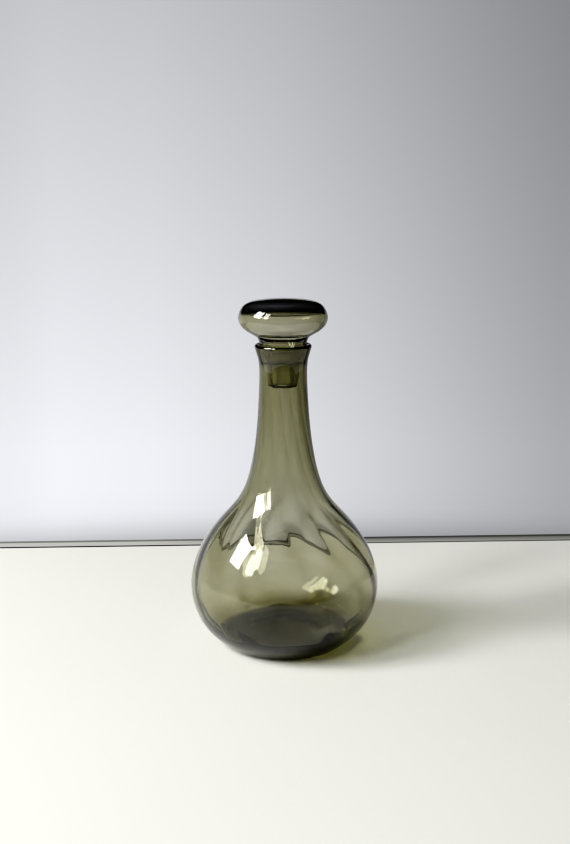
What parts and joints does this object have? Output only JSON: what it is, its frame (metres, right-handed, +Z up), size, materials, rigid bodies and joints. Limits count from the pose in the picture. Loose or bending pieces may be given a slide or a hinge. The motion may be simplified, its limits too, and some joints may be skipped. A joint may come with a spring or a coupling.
{
  "type": "glass decanter",
  "caption": "Round-bodied smoke glass decanter with winding optic ribs, a slim neck and a lift-out hollow mushroom stopper.",
  "frame": {"origin": "on the axis of the bottle, in the plane of the ring it stands on", "axes": "+Z up along the bottle's axis, the way the stopper lifts out; +X and +Y are across the round body"},
  "size_m": [0.135, 0.135, 0.2493],
  "materials": {
    "bottle_glass": "clear smoke grey glass, fire polished",
    "stopper_glass": "clear smoke grey glass, fire polished"
  },
  "bodies": {
    "bottle": {"bottle": "bottle_glass"},
    "stopper": {"stopper": "stopper_glass"}
  },
  "joints": [
    {"name": "stopper_lift", "type": "slide", "parent": "bottle", "child": "stopper", "axis": [0, 0, 1], "range_m": [0, 0.07]}
  ]
}
